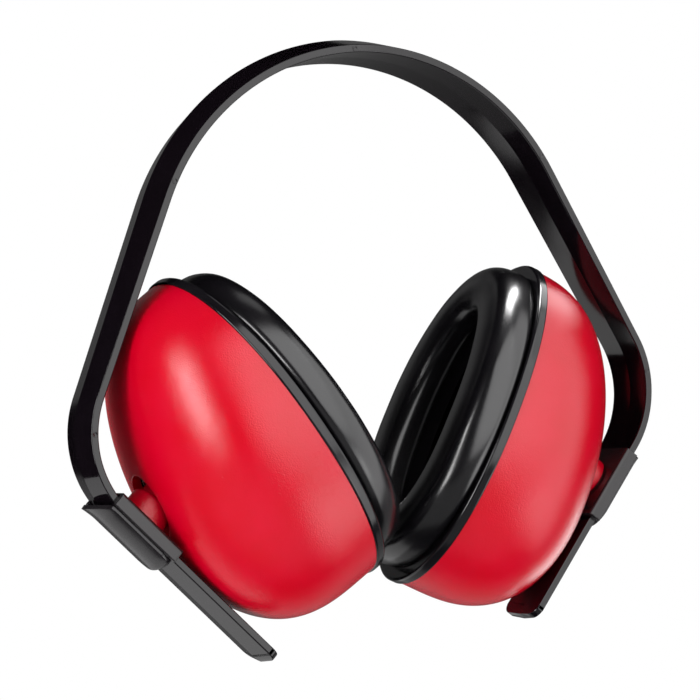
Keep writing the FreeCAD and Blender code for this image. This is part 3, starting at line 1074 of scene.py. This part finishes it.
def soft_box(name, first, last, width, radiance, seen):
    """A soft box whose long axis runs between two directions, facing the object."""
    first, last = light_way(*first), light_way(*last)
    way = (first + last).normalized()
    reach = LIGHT_DISTANCE / first.dot(way)
    length = (last - first).length * reach
    along = (last - first).normalized()
    return area_light(name, (width, length), radiance, seen, along.cross(way), along,
                      Vector(MIDDLE) + way * LIGHT_DISTANCE)


def table_glow(name, across, away, radiance):
    """The lit patch of table that the glossy surfaces mirror, as a light facing up."""
    across_way, away_way, level = table_axes()
    middle = across_way * sum(across) / 2 + away_way * sum(away) / 2
    area_light(name, (across[1] - across[0], away[1] - away[0]), radiance, "glossy",
               across_way, -away_way, middle + Vector((0, 0, level + GLOW_RISE)))


def make_world():
    """A white surround; it fills the shadows, and the lights alone are mirrored."""
    world = bpy.data.worlds.new("surround")
    bpy.context.scene.world = world
    world.use_nodes = True
    tree = world.node_tree
    background = tree.nodes["Background"]
    background.inputs["Color"].default_value = (1, 1, 1, 1)
    path = tree.nodes.new("ShaderNodeLightPath")
    level = tree.nodes.new("ShaderNodeMapRange")
    level.inputs["To Min"].default_value = FILL
    level.inputs["To Max"].default_value = 1.0
    tree.links.new(path.outputs["Is Camera Ray"], level.inputs["Value"])
    tree.links.new(level.outputs["Result"], background.inputs["Strength"])
    world.cycles_visibility.glossy = False


# Soft boxes: the two ends of the long axis as azimuth and elevation from the camera's
# direction, the width, the radiance, and whether they are mirrored or light evenly.
SOFT_BOXES = {
    "front_right": ((17, 60), (36, -12), 1120, 2.5, "glossy"),
    "front_low": ((45, -18), (62, -36), 480, 2.2, "glossy"),
    "far_right": ((78.5, -46), (78.5, 56), 940, 2.0, "glossy"),
    "left_strip": ((-54, 26), (-34, -16), 370, 10.5, "glossy"),
    "back_top": ((160, 55), (160, 88), 600, 32.0, "glossy"),
    "back_side": ((106, 47), (148, 33), 420, 3.8, "glossy"),
    "top": ((163, 72), (-17, 84), 500, 0.8, "glossy"),
    "back_low": ((-170, -34), (-170, 24), 950, 0.11, "glossy"),
    "back_right": ((150, -40), (150, -12), 340, 2.4, "glossy"),
    "left_key": ((-52, -28), (-52, 40), 500, 3.4, "diffuse"),
    "right_key": ((50, -30), (50, 50), 1500, 0.9, "diffuse"),
}
# The lights that show on some pieces only.
SHOWN_ON = {
    "back_top": ("right_cushion", "right_flange"),
    "back_side": ("right_cup_dome", "right_flange"),
    "back_right": ("right_cup_dome",),
}

# Patches of table: from and to across the view, from and to away from the camera, radiance.
TABLE_GLOWS = {
    "table_left": ((-900, -120), (60, 514), 0.7),
    "table_right": ((-120, 700), (100, 514), 0.27),
    "table_front": ((-500, 500), (-700, -100), 0.3),
}


def make_stage():
    """Camera, floor, lights and surround."""
    make_camera()
    make_floor()
    make_world()
    for name, settings in SOFT_BOXES.items():
        light = soft_box(name, *settings)
        if name in SHOWN_ON:
            shown = bpy.data.collections.new(name + "_shown_on")
            for piece in SHOWN_ON[name]:
                shown.objects.link(bpy.data.objects[piece])
            light.light_linking.receiver_collection = shown
    for name, settings in TABLE_GLOWS.items():
        table_glow(name, *settings)
    bpy.context.scene.view_settings.view_transform = "Standard"


# ---------------------------------------------------------------- the object

def make_object():
    """Every visible piece, each on its body."""
    materials = make_materials()
    make_headband(materials["band"])
    for side in ("left", "right"):
        make_sleeve(side, materials["slider"])
        make_cover(side, materials["slider"])
        make_stud(side, materials["cup"])
        make_seat(side, materials["nylon"])
        make_cup(side, materials["cup"])
        make_flange(side, materials["flange"])
        make_backing(side, materials["backing"])
        make_cushion(side, materials["vinyl"])
        make_liner(side, materials["foam"])
        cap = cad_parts[side + "_socket_cap"]
        cap.data.materials.clear()
        cap.data.materials.append(materials["nylon"])


make_object()
make_stage()
